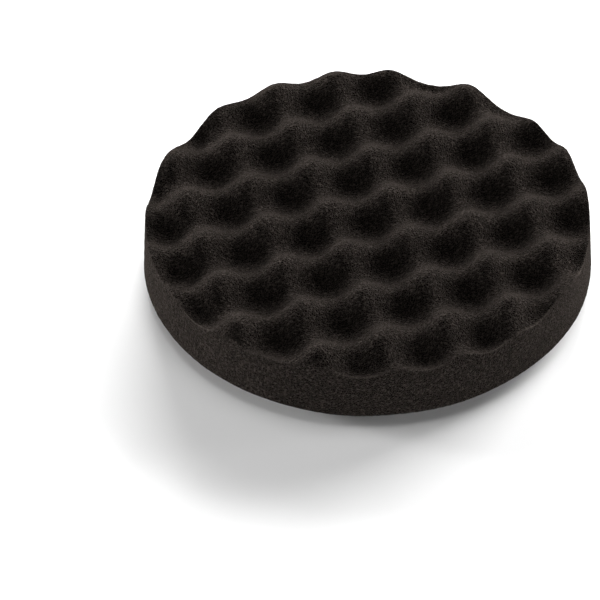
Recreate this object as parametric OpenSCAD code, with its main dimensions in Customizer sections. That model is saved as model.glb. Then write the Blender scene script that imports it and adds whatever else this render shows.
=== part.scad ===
// Foam polishing pad with a waffle working face and a hook-and-loop back.
// It lies on its back: the foam's back lip is on z = 0, the waffle face looks up
// and the pad's centre line is the Z axis. All sizes are in millimetres.

/* [Foam body] */
// Diameter at the crease between the wall and the back shoulder
pad_d = 203; // [202:1:230]
// Overall thickness, from the back lip to the waffle crests
pad_h = 38.1; // [32:0.1:50]
// Width of the rounded shoulder round the back
shoulder_run = 15; // [9:0.5:15]
// Height of the rounded shoulder, up to the crease
shoulder_rise = 8.2; // [4:0.1:9]

/* [Waffle face] */
// Distance from one dimple to the next along a row
row_pitch = 29.2; // [20:0.1:40]
// Distance from one dimple to the next along a column
column_pitch = 28.8; // [20:0.1:40]
// Height of the crests above the dimple floors
waffle_depth = 10.4; // [4:0.1:12]
// Turn of the rows of dimples from the X axis, in degrees
row_turn = 19.7; // [0:0.1:45]
// Turn of the columns of dimples from the Y axis, in degrees
column_turn = 16.5; // [0:0.1:45]
// Place of one dimple's floor along the rows, in pitches from the centre line
row_shift = -0.1; // [-0.5:0.01:0.5]
// Place of the same floor along the columns, in pitches from the centre line
column_shift = -0.24; // [-0.5:0.01:0.5]
// Breadth of the crests: 0 has crests as wide as the dimples, less than 0 has them narrower
crest_breadth = -0.08; // [-0.3:0.01:0.45]
// Slant of the dimples: 0 has them round, more draws them out along one diagonal of the rows
waffle_skew = 0.17; // [0:0.01:0.4]

/* [Cut rim] */
// Width of the band inside the rim where the waffle fades
rim_band = 6; // [3:0.5:12]
// Share of the waffle's relief that is lost at the rim
rim_fade = 0.35; // [0:0.05:0.9]
// Lean of the wall: how much narrower the rim is than the crease at the wall's foot
wall_lean = 1.3; // [0:0.1:3]

/* [Loop disc] */
// Diameter of the loop disc
loop_d = 170; // [140:1:170]
// Thickness of the hot-melt film that bonds the disc to the foam
film_t = 0.3; // [0.2:0.05:0.5]
// Thickness of the disc's knitted ground cloth
ground_t = 0.7; // [0.5:0.1:1]
// Height of the brushed loops that stand on the ground cloth
pile_t = 1.2; // [0.8:0.1:1.5]
// Depth of the loops' tips below the foam's back lip
loop_sink = 1; // [0.5:0.1:1.5]
// Gap between the disc's edge and the foam round it
disc_gap = 0.3; // [0.2:0.05:0.5]

/* [Hidden] */

pad_r = pad_d / 2;
shoulder_r = pad_r - shoulder_run;
// The shoulder is one arc that leaves the lip level and meets the wall at a crease
shoulder_arc = (shoulder_run * shoulder_run + shoulder_rise * shoulder_rise) / (2 * shoulder_rise);

loop_r = loop_d / 2;
// Heights of the layers on the back, from the tips of the loops up into the foam
pile_z = loop_sink;
ground_z = pile_z + pile_t;
film_z = ground_z + ground_t;
recess_z = film_z + film_t;

waffle_amp = waffle_depth / 2;
waffle_mid = pad_h - waffle_amp;
// The waffle surface is a disc of triangles in rings, each with six more points than the last
waffle_rings = 32;
rim_r = pad_r - wall_lean;
ring_step = rim_r / waffle_rings;
rim_count = 6 * waffle_rings;

// Half section of the back, from the crease round to the corner of the recess, as [radius, height]
crease_angle = asin(shoulder_run / shoulder_arc);
shoulder_steps = 6;
shoulder_points = [
    for (i = [0:shoulder_steps]) let (a = crease_angle * (1 - i / shoulder_steps))
        [shoulder_r + shoulder_arc * sin(a), shoulder_arc * (1 - cos(a))]
];
recess_r = loop_r + disc_gap;
back_points = concat(shoulder_points, [[recess_r, 0], [recess_r, recess_z]]);

curve_fn = 180;

// Distances along the rows and along the columns of dimples, in pitches
turn_gap = cos(row_turn - column_turn);
function along(x, y) = (x * cos(column_turn) + y * sin(column_turn)) / (row_pitch * turn_gap) - row_shift;
function across(x, y) = (y * cos(row_turn) - x * sin(row_turn)) / (column_pitch * turn_gap) - column_shift;

// Two crossed waves and their slant: -1 on a dimple's floor and 1 on a crest
function wave(x, y) =
    let (a = 360 * along(x, y), b = 360 * across(x, y))
    -(cos(a) + cos(b)) / 2 + waffle_skew * sin(a) * sin(b);

// 0 inside the rim's band, eased to 1 at the rim
function rim_share(r) =
    let (t = max(0, min(1, (r - rim_r + rim_band) / rim_band)))
    t * t * (3 - 2 * t);

// The waves with their crests made broader or narrower than their dimples, faded at the rim
function waffle_z(x, y) =
    let (w = wave(x, y), s = rim_share(norm([x, y])))
    waffle_mid + waffle_amp * (w + crest_breadth * (1 - w * w)) * (1 - rim_fade * s);

function surface_point(ring, i) =
    let (r = ring * ring_step, a = ring == 0 ? 0 : 60 * i / ring, x = r * cos(a), y = r * sin(a))
    [x, y, waffle_z(x, y)];

// Number of points inside a ring, which is the index of its first point
function first_of(ring) = ring == 0 ? 0 : 1 + 3 * ring * (ring - 1);
function point_of(ring, i) = first_of(ring) + (ring == 0 ? 0 : i % (6 * ring));

// Triangles between a ring and the one inside it, a sixth of the circle at a time
function ring_faces(ring) = [
    for (s = [0:5]) each concat(
        [for (j = [0:ring - 1])
            [point_of(ring - 1, s * (ring - 1) + j), point_of(ring, s * ring + j + 1), point_of(ring, s * ring + j)]],
        ring == 1 ? [] : [for (j = [0:ring - 2])
            [
                point_of(ring - 1, s * (ring - 1) + j),
                point_of(ring - 1, s * (ring - 1) + j + 1),
                point_of(ring, s * ring + j + 1)
            ]]
    )
];

// One block of open-cell foam: waffle face on top, wall leaning in to its rim, rounded back
// shoulder, and a shallow recess for the loop disc
module foam_pad() {
    waffle_points = [
        for (ring = [0:waffle_rings]) for (i = [0:max(6 * ring, 1) - 1]) surface_point(ring, i)
    ];
    back_loops = [
        for (p = back_points) for (i = [0:rim_count - 1]) let (a = 360 * i / rim_count)
            [p[0] * cos(a), p[0] * sin(a), p[1]]
    ];
    rim = first_of(waffle_rings);
    waffle_faces = [for (ring = [1:waffle_rings]) each ring_faces(ring)];
    // The rim's points are the last of the waffle's, so each loop starts rim_count after the one above.
    // They are not level, so the wall under them is of triangles; the back's loops are, so quads do
    wall_faces = [
        for (i = [0:rim_count - 1])
            let (lower = rim + rim_count, next = (i + 1) % rim_count)
            each [[rim + i, rim + next, lower + next], [rim + i, lower + next, lower + i]]
    ];
    back_faces = [
        for (k = [1:len(back_points) - 1]) for (i = [0:rim_count - 1])
            let (upper = rim + k * rim_count, lower = upper + rim_count, next = (i + 1) % rim_count)
            [upper + i, upper + next, lower + next, lower + i]
    ];
    recess_floor = [[for (i = [0:rim_count - 1]) rim + len(back_points) * rim_count + i]];
    color("#26221f")
    polyhedron(
        concat(waffle_points, back_loops),
        concat(waffle_faces, wall_faces, back_faces, recess_floor)
    );
}

module disc(z, t) {
    translate([0, 0, z]) cylinder(h = t, r = loop_r, $fn = curve_fn);
}

// Hot-melt film between the foam and the ground cloth
module adhesive_film() {
    color("#d8d3c4") disc(film_z, film_t);
}

// Knitted ground cloth that holds the feet of the loops
module loop_backing() {
    color("#dfe2ea") disc(ground_z, ground_t);
}

// Brushed loops that the hooks of a backing plate grip
module loop_pile() {
    color("#e9ecf4") disc(pile_z, pile_t);
}

foam_pad();
adhesive_film();
loop_backing();
loop_pile();
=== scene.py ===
"""Looks of the foam polishing pad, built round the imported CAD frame. Lengths are in metres.

The pad lies on its back with its waffle face up and its centre line on the Z axis.
"""
import math

import bpy
import numpy as np
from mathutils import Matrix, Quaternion, Vector, noise


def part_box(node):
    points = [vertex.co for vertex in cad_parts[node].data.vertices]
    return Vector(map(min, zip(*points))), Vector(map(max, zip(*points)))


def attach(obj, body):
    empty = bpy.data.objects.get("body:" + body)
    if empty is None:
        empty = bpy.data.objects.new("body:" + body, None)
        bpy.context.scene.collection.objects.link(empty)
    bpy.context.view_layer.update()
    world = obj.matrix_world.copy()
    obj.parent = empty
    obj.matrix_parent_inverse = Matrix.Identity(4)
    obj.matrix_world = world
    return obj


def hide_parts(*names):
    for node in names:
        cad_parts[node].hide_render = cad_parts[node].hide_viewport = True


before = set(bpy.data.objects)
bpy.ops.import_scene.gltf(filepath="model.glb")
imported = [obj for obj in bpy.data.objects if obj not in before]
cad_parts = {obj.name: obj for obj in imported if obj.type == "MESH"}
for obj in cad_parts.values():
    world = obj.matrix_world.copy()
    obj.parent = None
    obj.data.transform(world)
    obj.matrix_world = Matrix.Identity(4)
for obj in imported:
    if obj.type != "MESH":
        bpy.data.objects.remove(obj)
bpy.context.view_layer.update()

MM = 0.001

# Pad, from the frame
PAD_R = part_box("foam_pad")[1].x
RECESS_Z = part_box("adhesive_film")[1].z
GROUND_LOW, GROUND_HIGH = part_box("loop_backing")
PILE_LOW, PILE_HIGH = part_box("loop_pile")
LOOP_R = PILE_HIGH.x

# Waffle face, wall and rounded back, as the CAD has them
PAD_H = 38.1 * MM
ROW_PITCH = 29.2 * MM
COLUMN_PITCH = 28.8 * MM
ROW_TURN = math.radians(19.7)
COLUMN_TURN = math.radians(16.5)
ROW_SHIFT = -0.1
COLUMN_SHIFT = -0.24
WAFFLE_AMP = 5.2 * MM
WAFFLE_MID = PAD_H - WAFFLE_AMP
CREST_BREADTH = -0.08
WAFFLE_SKEW = 0.17
WALL_LEAN = 1.3 * MM
RIM_R = PAD_R - WALL_LEAN
RIM_BAND = 6 * MM
RIM_FADE = 0.35
SHOULDER_RUN = 15 * MM
SHOULDER_RISE = 8.2 * MM
DISC_GAP = 0.3 * MM
RECESS_R = LOOP_R + DISC_GAP

# Spacing of the foam's mesh, and the rounding of its cut rim
FOAM_STEP = 0.68 * MM
RIM_ROUND = 0.35 * MM
# Attribute of the foam's points that says how much of the rim's paler colour they get: torn cells, and a
# painted highlight on the cut lip. The rim gets it where it is lower than this share of its own relief,
# counted from the middle of the waffle
RIM_TEARS_AND_HIGHLIGHT = "rim_tears_and_highlight"
TEARS_AND_HIGHLIGHT_BELOW = 0.3

# Camera: a long lens in front of the pad and above it
LENS_MM = 215.1
VIEW_ELEVATION = math.radians(42.66)
VIEW_DISTANCE = 1.6295
VIEW_ROLL = math.radians(-1.2)
# The pad is right of and above the middle of the frame, so the camera aims at its lower left
VIEW_AIM = Vector((-30.36 * MM, -28.65 * MM, SHOULDER_RISE))

# Brightness of the studio's walls and of its ceiling, and the rise of the view between which
# one fades into the other: 0 is level and 1 is straight up
HORIZON_LIGHT = 3.1
OVERHEAD_LIGHT = 0.0
WALL_RISE = 0.10
CEILING_RISE = 0.35
# Half the side of the floor. A wider one shows a grey band, out of the softboxes' reach, in low views
FLOOR_HALF = 1.3

# Raised loops of the nap, cut yarn ends round the disc, and the seed of their random draws
NAP_LOOPS = 6000
YARN_ENDS = 900
YARN_SEED = 8


# ---------------------------------------------------------------- camera, floor and light


def make_camera():
    direction = Vector((0, -math.cos(VIEW_ELEVATION), math.sin(VIEW_ELEVATION)))
    position = Vector((0, 0, SHOULDER_RISE)) + direction * VIEW_DISTANCE
    data = bpy.data.cameras.new("camera")
    data.lens = LENS_MM
    data.clip_end = 20
    camera = bpy.data.objects.new("camera", data)
    camera.location = position
    camera.rotation_mode = "QUATERNION"
    level = (VIEW_AIM - position).to_track_quat("-Z", "Y")
    camera.rotation_quaternion = level @ Quaternion((0, 0, 1), VIEW_ROLL)
    bpy.context.scene.collection.objects.link(camera)
    bpy.context.scene.camera = camera


def make_floor():
    half = FLOOR_HALF
    corners = [(-half, -half, 0), (half, -half, 0), (half, half, 0), (-half, half, 0)]
    mesh = bpy.data.meshes.new("floor")
    mesh.from_pydata(corners, [], [(0, 1, 2, 3)])
    floor = bpy.data.objects.new("floor", mesh)
    bpy.context.scene.collection.objects.link(floor)
    shader = Shader("floor", (0.96, 0.96, 0.96), roughness=0.9)
    mesh.materials.append(shader.material)


def add_softbox(name, azimuth, elevation, distance, size, power):
    """A square area light that points at the pad. Azimuth 0 is in front of the pad, 90 on its right."""
    az, el = math.radians(azimuth), math.radians(elevation)
    direction = Vector((math.sin(az) * math.cos(el), -math.cos(az) * math.cos(el), math.sin(el)))
    data = bpy.data.lights.new(name, "AREA")
    data.size = size
    data.energy = power
    light = bpy.data.objects.new(name, data)
    light.location = direction * distance
    light.rotation_euler = (-direction).to_track_quat("-Z", "Y").to_euler()
    bpy.context.scene.collection.objects.link(light)


def make_light():
    """A studio that is bright near the horizon and dark overhead, and six softboxes."""
    world = bpy.data.worlds.new("studio")
    world.use_nodes = True
    tree = world.node_tree
    direction = tree.nodes.new("ShaderNodeTexCoord")
    upward = tree.nodes.new("ShaderNodeSeparateXYZ")
    fade = tree.nodes.new("ShaderNodeMapRange")
    fade.interpolation_type = "SMOOTHSTEP"
    fade.inputs["From Min"].default_value = WALL_RISE
    fade.inputs["From Max"].default_value = CEILING_RISE
    fade.inputs["To Min"].default_value = HORIZON_LIGHT
    fade.inputs["To Max"].default_value = OVERHEAD_LIGHT
    tree.links.new(direction.outputs["Generated"], upward.inputs[0])
    tree.links.new(upward.outputs["Z"], fade.inputs["Value"])
    tree.links.new(fade.outputs["Result"], tree.nodes["Background"].inputs["Strength"])
    tree.nodes["Background"].inputs["Color"].default_value = (1.0, 1.0, 1.0, 1)
    bpy.context.scene.world = world
    add_softbox("back_right_softbox", azimuth=135, elevation=18, distance=1.8, size=1.0, power=70)
    add_softbox("back_softbox", azimuth=180, elevation=18, distance=1.8, size=1.0, power=70)
    add_softbox("left_softbox", azimuth=255, elevation=4, distance=2.2, size=0.3, power=90)
    add_softbox("right_softbox", azimuth=98, elevation=4, distance=2.2, size=0.3, power=20)
    add_softbox("front_softbox", azimuth=0, elevation=4, distance=2.2, size=0.3, power=4)
    add_softbox("top_softbox", azimuth=0, elevation=89, distance=1.8, size=1.0, power=10)
    bpy.context.scene.view_settings.view_transform = "Standard"


# ---------------------------------------------------------------- materials


class Shader:
    """One material with a Principled surface. Its node() and mix() calls add the pattern nodes."""

    def __init__(self, name, color, roughness, **sockets):
        self.material = bpy.data.materials.new(name)
        self.material.use_nodes = True
        self.tree = self.material.node_tree
        self.surface = self.tree.nodes["Principled BSDF"]
        self.surface.inputs["Base Color"].default_value = (*color, 1)
        self.surface.inputs["Roughness"].default_value = roughness
        for socket, value in sockets.items():
            self.surface.inputs[socket.replace("_", " ")].default_value = value
        self.material.diffuse_color = (*color, 1)

    def feed(self, socket, value):
        """Gives a socket a number, a colour or the output that it comes from."""
        if isinstance(value, bpy.types.NodeSocket):
            self.tree.links.new(value, socket)
        else:
            socket.default_value = value

    def node(self, kind, settings=None, **inputs):
        """A shader node. An input is a number, a colour or the output it comes from."""
        made = self.tree.nodes.new("ShaderNode" + kind)
        for setting, value in (settings or {}).items():
            setattr(made, setting, value)
        for name, value in inputs.items():
            self.feed(made.inputs[name.replace("_", " ")], value)
        return made

    def place(self):
        """The surface's own coordinates, in metres."""
        return self.node("TexCoord").outputs["Object"]

    def ramp(self, value, low, high, to_low=0.0, to_high=1.0):
        """value, from low to high, eased to the range to_low to to_high."""
        made = self.node("MapRange", {"interpolation_type": "SMOOTHSTEP"}, Value=value)
        made.inputs["From Min"].default_value = low
        made.inputs["From Max"].default_value = high
        made.inputs["To Min"].default_value = to_low
        made.inputs["To Max"].default_value = to_high
        return made.outputs["Result"]

    def maths(self, operation, first, second):
        made = self.node("Math", {"operation": operation})
        self.feed(made.inputs[0], first)
        self.feed(made.inputs[1], second)
        return made.outputs[0]

    def mix(self, share, first, second):
        """A colour between first and second. Each of them is an output or red, green and blue."""
        made = self.node("Mix", {"data_type": "RGBA"})
        self.feed(made.inputs[0], share)
        for socket, color in ((made.inputs[6], first), (made.inputs[7], second)):
            self.feed(socket, (*color, 1) if isinstance(color, tuple) else color)
        return made.outputs[2]

    def finish(self, color, height, depth, strength, roughness=None):
        """The material, with its colour, its bumps and, where that varies, its roughness joined up."""
        self.feed(self.surface.inputs["Base Color"], color)
        if roughness is not None:
            self.feed(self.surface.inputs["Roughness"], roughness)
        bump = self.node("Bump", Height=height, Distance=depth, Strength=strength)
        self.feed(self.surface.inputs["Normal"], bump.outputs["Normal"])
        return self.material


def foam_material():
    """Open-cell polyurethane: a net of paler struts round dark pores, dusty here and there.

    Along the cut rim, where the rim's attribute says, it is paler: torn cells and a painted highlight.
    """
    shader = Shader(
        "open_cell_foam",
        (0.0095, 0.008, 0.0071),
        roughness=0.95,
        Specular_IOR_Level=0.0,
        Sheen_Weight=0.084,
        Sheen_Roughness=0.3,
        Sheen_Tint=(1.0, 0.85, 0.75, 1),
    )
    place = shader.place()
    cells = shader.node(
        "TexVoronoi", {"feature": "DISTANCE_TO_EDGE"}, Vector=place, Scale=1 / (0.95 * MM), Randomness=1.0
    )
    struts = shader.ramp(cells.outputs["Distance"], 0.03, 0.24, 1.0, 0.0)
    fine = shader.node("TexNoise", Vector=place, Scale=1 / (1.1 * MM), Detail=2.0, Roughness=0.6)
    glints = shader.ramp(fine.outputs["Fac"], 0.5, 0.7)
    cloud = shader.node("TexNoise", Vector=place, Scale=1 / (16 * MM), Detail=3.0, Roughness=0.6)
    net = shader.mix(struts, (0.0003, 0.0003, 0.0002), (0.0085, 0.0070, 0.0062))
    sparkling = shader.mix(glints, net, (0.0440, 0.0364, 0.0317))
    dusty = shader.mix(
        shader.ramp(cloud.outputs["Fac"], 0.35, 0.7, 0.0, 0.2), sparkling, (0.0110, 0.0094, 0.0084)
    )
    tear_and_highlight = shader.node("Attribute", {"attribute_name": RIM_TEARS_AND_HIGHLIGHT}).outputs["Fac"]
    # Painted highlight: the cut rim is painted paler where it dips into a dimple, partly for its torn cells
    rim_tear_and_highlight_color = shader.mix(tear_and_highlight, dusty, (0.075, 0.063, 0.055))
    height = shader.maths("ADD", struts, glints)
    return shader.finish(rim_tear_and_highlight_color, height=height, depth=1.0 * MM, strength=1.0)


def nap_material():
    """Brushed nylon loops: bluish white, with fine flecks that lie mostly one way, and painted shade in the
    gaps between tufts.
    """
    shader = Shader(
        "brushed_loops",
        (0.80, 0.83, 0.90),
        roughness=0.85,
        Specular_IOR_Level=0.3,
        Sheen_Weight=0.3,
        Sheen_Roughness=0.4,
    )
    place = shader.place()
    combed = shader.node("Mapping", Vector=place, Rotation=(0, 0, 0.5), Scale=(1.0, 0.35, 1.0))
    fibre = shader.node(
        "TexNoise", Vector=combed.outputs["Vector"], Scale=1 / (0.35 * MM), Detail=4.0, Roughness=0.65
    )
    tufts = shader.node("TexVoronoi", Vector=place, Scale=1 / (1.1 * MM), Randomness=1.0)
    gap = shader.ramp(tufts.outputs["Distance"], 0.35, 0.8)
    fleck = shader.ramp(fibre.outputs["Fac"], 0.38, 0.66)
    lit = shader.mix(fleck, (0.66, 0.69, 0.77), (0.86, 0.88, 0.93))
    # Painted shade: darker in the gaps between the tufts of loops, where the bump also sets them lower
    color = shader.mix(shader.maths("MULTIPLY", gap, 0.35), lit, (0.58, 0.61, 0.69))
    height = shader.maths("SUBTRACT", fibre.outputs["Fac"], shader.maths("MULTIPLY", gap, 0.4))
    return shader.finish(color, height=height, depth=0.2 * MM, strength=0.7)


def yarn_material():
    """Single nylon filaments."""
    shader = Shader(
        "nylon_filament", (0.84, 0.87, 0.93), roughness=0.45, Specular_IOR_Level=0.5
    )
    tone = shader.node("TexNoise", Vector=shader.place(), Scale=1 / (0.6 * MM), Detail=2.0)
    color = shader.mix(
        shader.ramp(tone.outputs["Fac"], 0.35, 0.65), (0.74, 0.77, 0.84), (0.9, 0.92, 0.96)
    )
    return shader.finish(color, height=tone.outputs["Fac"], depth=0.02 * MM, strength=0.5)


def knit_material():
    """Warp-knitted ground cloth: rows of small stitches."""
    shader = Shader("ground_knit", (0.72, 0.75, 0.82), roughness=0.9, Specular_IOR_Level=0.2)
    place = shader.place()
    wales = shader.node(
        "TexWave", {"wave_type": "BANDS", "bands_direction": "X"}, Vector=place, Scale=400.0,
        Distortion=1.5, Detail=2.0,
    )
    courses = shader.node(
        "TexWave", {"wave_type": "BANDS", "bands_direction": "Y"}, Vector=place, Scale=300.0,
        Distortion=1.5, Detail=2.0,
    )
    stitch = shader.maths("MULTIPLY", wales.outputs["Fac"], courses.outputs["Fac"])
    color = shader.mix(stitch, (0.52, 0.55, 0.62), (0.78, 0.81, 0.88))
    return shader.finish(color, height=stitch, depth=0.12 * MM, strength=0.8)


def hot_melt_material():
    """Cloudy hot-melt film, glossier where it pooled."""
    shader = Shader("hot_melt", (0.68, 0.65, 0.55), roughness=0.4, Specular_IOR_Level=0.5)
    cloud = shader.node("TexNoise", Vector=shader.place(), Scale=1 / (2.5 * MM), Detail=4.0)
    pooled = shader.ramp(cloud.outputs["Fac"], 0.35, 0.65)
    color = shader.mix(pooled, (0.62, 0.58, 0.47), (0.74, 0.71, 0.61))
    roughness = shader.ramp(cloud.outputs["Fac"], 0.35, 0.65, 0.6, 0.3)
    return shader.finish(
        color, height=cloud.outputs["Fac"], depth=0.08 * MM, strength=0.5, roughness=roughness
    )


# ---------------------------------------------------------------- meshes


def make_piece(name, points, faces, material):
    """An object with one smooth-shaded mesh and one material."""
    mesh = bpy.data.meshes.new(name)
    mesh.from_pydata(points.tolist(), [], faces)
    mesh.update()
    mesh.shade_smooth()
    mesh.materials.append(material)
    piece = bpy.data.objects.new(name, mesh)
    bpy.context.scene.collection.objects.link(piece)
    return piece


def first_of(ring):
    """Number of points inside a ring of a disc grid, where ring n has 6 n points."""
    return 0 if ring == 0 else 1 + 3 * ring * (ring - 1)


def ring_triangles(ring):
    """Triangles between a ring of a disc grid and the one inside it."""
    sector = np.repeat(np.arange(6), ring)
    step = np.tile(np.arange(ring), 6)
    outer_count, inner_count = 6 * ring, max(6 * (ring - 1), 1)
    outer = first_of(ring) + (sector * ring + step) % outer_count
    outer_next = first_of(ring) + (sector * ring + step + 1) % outer_count
    inner = first_of(ring - 1) + (sector * (ring - 1) + step) % inner_count
    inner_next = first_of(ring - 1) + (sector * (ring - 1) + step + 1) % inner_count
    pointing_in = np.stack([inner, outer, outer_next], 1)
    pointing_out = np.stack([inner, outer_next, inner_next], 1)[step < ring - 1]
    return np.concatenate([pointing_in, pointing_out])


def disc_grid(rings, radius):
    """Points (x, y) and triangles, facing up, of a disc with nearly even triangles."""
    counts = [1] + [6 * ring for ring in range(1, rings + 1)]
    radii = np.repeat(np.arange(rings + 1), counts) * radius / rings
    angles = np.concatenate([np.arange(n) * 2 * np.pi / n for n in counts])
    flat = np.stack([radii * np.cos(angles), radii * np.sin(angles)], 1)
    triangles = np.concatenate([ring_triangles(ring) for ring in range(1, rings + 1)])
    return flat, triangles


def circle_points(count, radius, height):
    """A loop of points at a radius and a height, each a number or one value a point."""
    angles = np.arange(count) * 2 * np.pi / count
    radius, height = np.broadcast_to(radius, count), np.broadcast_to(height, count)
    return np.stack([radius * np.cos(angles), radius * np.sin(angles), height], 1)


def strip_quads(upper, lower, count):
    """Quads, facing out, between two loops of points, given the index of each one's first point."""
    here = np.arange(count)
    after = (here + 1) % count
    return np.stack([upper + here, lower + here, lower + after, upper + after], 1)


def waffle_height(x, y):
    """Height of the waffle face: two crossed waves with a slant, faded near the rim."""
    turn_gap = math.cos(ROW_TURN - COLUMN_TURN)
    along = (x * math.cos(COLUMN_TURN) + y * math.sin(COLUMN_TURN)) / (ROW_PITCH * turn_gap) - ROW_SHIFT
    across = (y * math.cos(ROW_TURN) - x * math.sin(ROW_TURN)) / (COLUMN_PITCH * turn_gap) - COLUMN_SHIFT
    a, b = 2 * np.pi * along, 2 * np.pi * across
    wave = -(np.cos(a) + np.cos(b)) / 2 + WAFFLE_SKEW * np.sin(a) * np.sin(b)
    relief = wave + CREST_BREADTH * (1 - wave * wave)
    share = np.clip((np.hypot(x, y) - RIM_R + RIM_BAND) / RIM_BAND, 0, 1)
    share = share * share * (3 - 2 * share)
    return WAFFLE_MID + WAFFLE_AMP * relief * (1 - RIM_FADE * share)


def rough(points, size):
    """Smooth noise from about -1 to 1, with lumps of that size, at each point.

    Points that are all moved by a metre or more get another pattern of lumps.
    """
    return np.array([noise.noise(p) for p in (points / size).tolist()])


def back_profile():
    """Radius and height down the foam's back: crease, shoulder arc, lip, and recess wall."""
    arc_r = (SHOULDER_RUN**2 + SHOULDER_RISE**2) / (2 * SHOULDER_RISE)
    crease_angle = math.asin(SHOULDER_RUN / arc_r)
    steps = round(arc_r * crease_angle / FOAM_STEP)
    angles = crease_angle * (1 - np.arange(steps + 1) / steps)
    shoulder = np.stack([PAD_R - SHOULDER_RUN + arc_r * np.sin(angles), arc_r * (1 - np.cos(angles))], 1)
    lip = [(RECESS_R + RIM_ROUND, 0), (RECESS_R, RIM_ROUND)]
    recess = [(RECESS_R, RECESS_Z * share) for share in (0.4, 0.7, 1.0)]
    return np.concatenate([shoulder, lip, recess])


def make_foam(material):
    """The foam as one closed mesh: waffle face, rounded cut rim, wall, back, and floor of the recess."""
    rings = round(RIM_R / FOAM_STEP)
    flat, triangles = disc_grid(rings, RIM_R - RIM_ROUND)
    count = 6 * rings
    top = np.column_stack([flat, waffle_height(flat[:, 0], flat[:, 1])])

    rim = circle_points(count, RIM_R, 0)
    rim_height = waffle_height(rim[:, 0], rim[:, 1])
    corner = RIM_ROUND * (1 - math.sqrt(0.5))
    loops = [circle_points(count, RIM_R - corner, rim_height - corner)]
    wall_rows = round((WAFFLE_MID - SHOULDER_RISE) / FOAM_STEP)
    for row in range(wall_rows):
        share = row / wall_rows
        height = (rim_height - RIM_ROUND) * (1 - share) + SHOULDER_RISE * share
        loops.append(circle_points(count, RIM_R * (1 - share) + PAD_R * share, height))
    for radius, height in back_profile():
        loops.append(circle_points(count, radius, height))

    points = np.concatenate([top, *loops, [(0, 0, RECESS_Z)]])
    starts = [first_of(rings) + count * k for k in range(len(loops) + 1)]
    quads = [strip_quads(upper, lower, count) for upper, lower in zip(starts, starts[1:])]
    last, centre = starts[-1], len(points) - 1
    fan = [(last + i, centre, last + (i + 1) % count) for i in range(count)]
    faces = triangles.tolist() + np.concatenate(quads).tolist() + fan
    foam = make_piece("waffle_foam", points, faces, material)
    mark_rim_tears_and_highlight(foam, points, first_of(rings), count)
    roughen_foam(foam)
    return foam


def mark_rim_tears_and_highlight(foam, points, rim_start, count):
    """Torn cells, and a painted highlight, along the rounded rim where it cuts a dimple. Its three loops
    start at rim_start.
    """
    height = points[rim_start:rim_start + count, 2]
    hollow = np.clip(TEARS_AND_HIGHLIGHT_BELOW - (height - WAFFLE_MID) / (WAFFLE_AMP * (1 - RIM_FADE)), 0, 1)
    tear_and_highlight = np.zeros(len(points))
    for loop, share in enumerate((0.5, 1.0, 0.4)):
        start = rim_start + loop * count
        patches = 0.8 + 0.5 * rough(points[start:start + count], 4 * MM)
        tear_and_highlight[start:start + count] = share * hollow * np.clip(patches, 0, 1)
    attribute = foam.data.attributes.new(RIM_TEARS_AND_HIGHLIGHT, "FLOAT", "POINT")
    attribute.data.foreach_set("value", tear_and_highlight)


def roughen_foam(foam):
    """The foam's own unevenness: open cells all over, and a slight waviness of the whole cut."""
    mesh = foam.data
    count = len(mesh.vertices)
    points = np.empty(count * 3)
    mesh.vertices.foreach_get("co", points)
    points = points.reshape(-1, 3)
    normals = np.empty(count * 3)
    mesh.vertex_normals.foreach_get("vector", normals)
    normals = normals.reshape(-1, 3)
    cells = rough(points, 1.3 * MM) * 0.10 * MM + rough(points + 1, 2.6 * MM) * 0.09 * MM
    wavy = rough(points + 2, 38 * MM) * 0.35 * MM + rough(points + 3, 14 * MM) * 0.12 * MM
    hidden = (np.hypot(points[:, 0], points[:, 1]) < RECESS_R + 0.1 * MM) & (points[:, 2] < RECESS_Z + MM)
    move = np.where(hidden, 0, cells + wavy)
    moved = points + normals * move[:, None]
    moved[:, 2] = np.maximum(moved[:, 2], 0)
    mesh.vertices.foreach_set("co", moved.ravel())
    mesh.update()


def make_disc(name, low, high, step, ragged, relief, material):
    """A closed disc of cloth. ragged is how far its edge strays, and relief how far its lower face does."""
    rings = round(LOOP_R / step)
    flat, triangles = disc_grid(rings, LOOP_R)
    count = 6 * rings
    edge = circle_points(count, LOOP_R, 0)
    pull = rough(edge, 1.6 * MM) * ragged + rough(edge + 5, 9 * MM) * ragged
    reach = np.hypot(flat[:, 0], flat[:, 1]) / LOOP_R
    turn = (np.arctan2(flat[:, 1], flat[:, 0]) / (2 * np.pi) * count) % count
    outer = np.interp(turn, np.arange(count + 1), np.append(pull, pull[0]))
    # The high power keeps the edge's raggedness to the disc's last few millimetres
    flat = flat * (1 + outer * reach**40 / LOOP_R)[:, None]
    face = np.column_stack([flat, np.zeros(len(flat))])
    uneven = np.abs(rough(face + 7, 1.0 * MM)) * relief
    lower = np.column_stack([flat, low + uneven])
    upper = np.column_stack([flat, np.full(len(flat), high)])
    points = np.concatenate([upper, lower])
    total, rim = len(flat), first_of(rings)
    faces = triangles.tolist() + (triangles[:, ::-1] + total).tolist()
    faces += strip_quads(rim, rim + total, count).tolist()
    return make_piece(name, points, faces, material)


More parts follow.
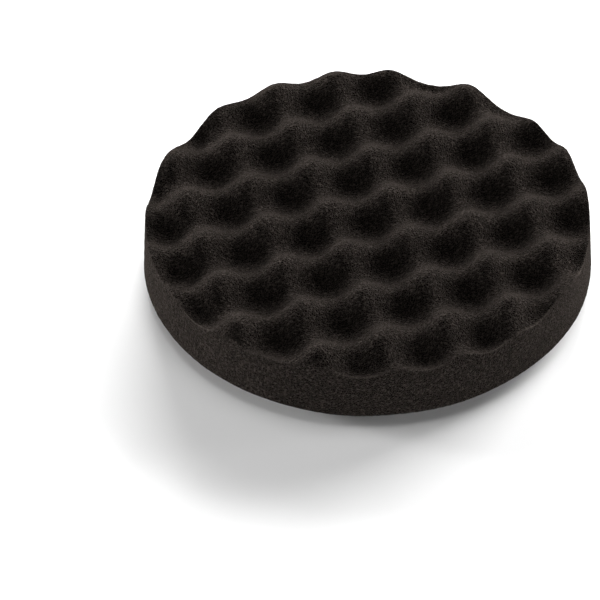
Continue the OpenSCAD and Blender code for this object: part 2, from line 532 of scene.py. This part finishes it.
def tube_mesh(paths, radii, sides=3):
    """Points and quads of thin tubes, narrower at their ends. paths is tubes by stations by 3."""
    tubes, stations, _ = paths.shape
    forward = np.gradient(paths, axis=1)
    forward /= np.linalg.norm(forward, axis=2, keepdims=True)
    side = np.cross(forward, (0.31, 0.17, 0.93))
    side /= np.linalg.norm(side, axis=2, keepdims=True)
    other = np.cross(forward, side)
    angles = np.arange(sides) * 2 * np.pi / sides
    taper = np.ones(stations)
    taper[[0, -1]] = 0.35
    ring = side[:, :, None] * np.cos(angles)[:, None] + other[:, :, None] * np.sin(angles)[:, None]
    points = paths[:, :, None] + ring * (radii[:, None] * taper)[:, :, None, None]
    first = (np.arange(tubes)[:, None] * stations + np.arange(stations - 1)) * sides
    here = first[:, :, None] + np.arange(sides)
    after = first[:, :, None] + (np.arange(sides) + 1) % sides
    quads = np.stack([here, after, after + sides, here + sides], 3).reshape(-1, 4)
    starts = np.arange(tubes)[:, None] * stations * sides
    near_caps = starts + np.arange(sides)[::-1]
    far_caps = starts + (stations - 1) * sides + np.arange(sides)
    caps = np.concatenate([near_caps, far_caps])
    return points.reshape(-1, 3), quads.tolist() + caps.tolist()


def make_nap_loops(material, random):
    """Raised loops of the nap: small arches that lean mostly one way, combed by the brushing."""
    count, stations = NAP_LOOPS, 6
    radius = LOOP_R * np.sqrt(random.uniform(0, 0.985, count))
    around = random.uniform(0, 2 * np.pi, count)
    foot = np.stack([radius * np.cos(around), radius * np.sin(around)], 1)
    heading = random.normal(0.5, 0.7, count)
    span = random.uniform(0.35, 0.95, count) * MM
    rise = random.uniform(0.35, 0.8, count) * MM
    lean = random.uniform(-0.2, 0.6, count) * MM
    t = np.linspace(0, np.pi, stations)
    run = span[:, None] * (1 - np.cos(t)) / 2 * 1.2
    sway = lean[:, None] * np.sin(t)
    x = foot[:, :1] + run * np.cos(heading)[:, None] - sway * np.sin(heading)[:, None]
    y = foot[:, 1:] + run * np.sin(heading)[:, None] + sway * np.cos(heading)[:, None]
    z = PILE_LOW.z + 0.25 * MM - rise[:, None] * np.sin(t)
    points, faces = tube_mesh(np.stack([x, y, z], 2), random.uniform(0.035, 0.06, count) * MM)
    return make_piece("nap_loops", points, faces, material)


def make_edge_fibres(material, random):
    """Cut ends of yarn round the disc's edge."""
    count, stations = YARN_ENDS, 4
    around = random.uniform(0, 2 * np.pi, count)
    heading = around + random.normal(0, 0.6, count)
    length = random.gamma(2.0, 0.22, count) * MM
    start = LOOP_R - 0.4 * MM
    t = np.linspace(0, 1, stations)
    z0 = random.uniform(PILE_LOW.z + 0.1 * MM, PILE_HIGH.z, count)
    droop = random.normal(-0.15, 0.3, count) * MM
    x = start * np.cos(around)[:, None] + np.cos(heading)[:, None] * length[:, None] * t
    y = start * np.sin(around)[:, None] + np.sin(heading)[:, None] * length[:, None] * t
    z = np.maximum(z0[:, None] + droop[:, None] * t**2, 0.05 * MM)
    points, faces = tube_mesh(np.stack([x, y, z], 2), random.uniform(0.04, 0.07, count) * MM)
    return make_piece("cut_edge_fibres", points, faces, material)


# ---------------------------------------------------------------- the pad


def build_pad():
    """The film keeps its CAD shape. Finer meshes take the place of the other three nodes."""
    random = np.random.default_rng(YARN_SEED)

    foam = make_foam(foam_material())
    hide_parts("foam_pad")

    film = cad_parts["adhesive_film"]
    film.data.materials[0] = hot_melt_material()

    ground = make_disc(
        "ground_cloth", GROUND_LOW.z, GROUND_HIGH.z, 1.4 * MM, 0.10 * MM, 0.08 * MM, knit_material()
    )
    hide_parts("loop_backing")

    nap = make_disc("loop_nap", PILE_LOW.z, PILE_HIGH.z, 0.9 * MM, 0.16 * MM, 0.28 * MM, nap_material())
    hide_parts("loop_pile")
    yarn = yarn_material()
    loops = make_nap_loops(yarn, random)
    fibres = make_edge_fibres(yarn, random)

    for piece in (foam, ground, nap, loops, fibres):
        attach(piece, "root")


make_camera()
make_floor()
make_light()
build_pad()
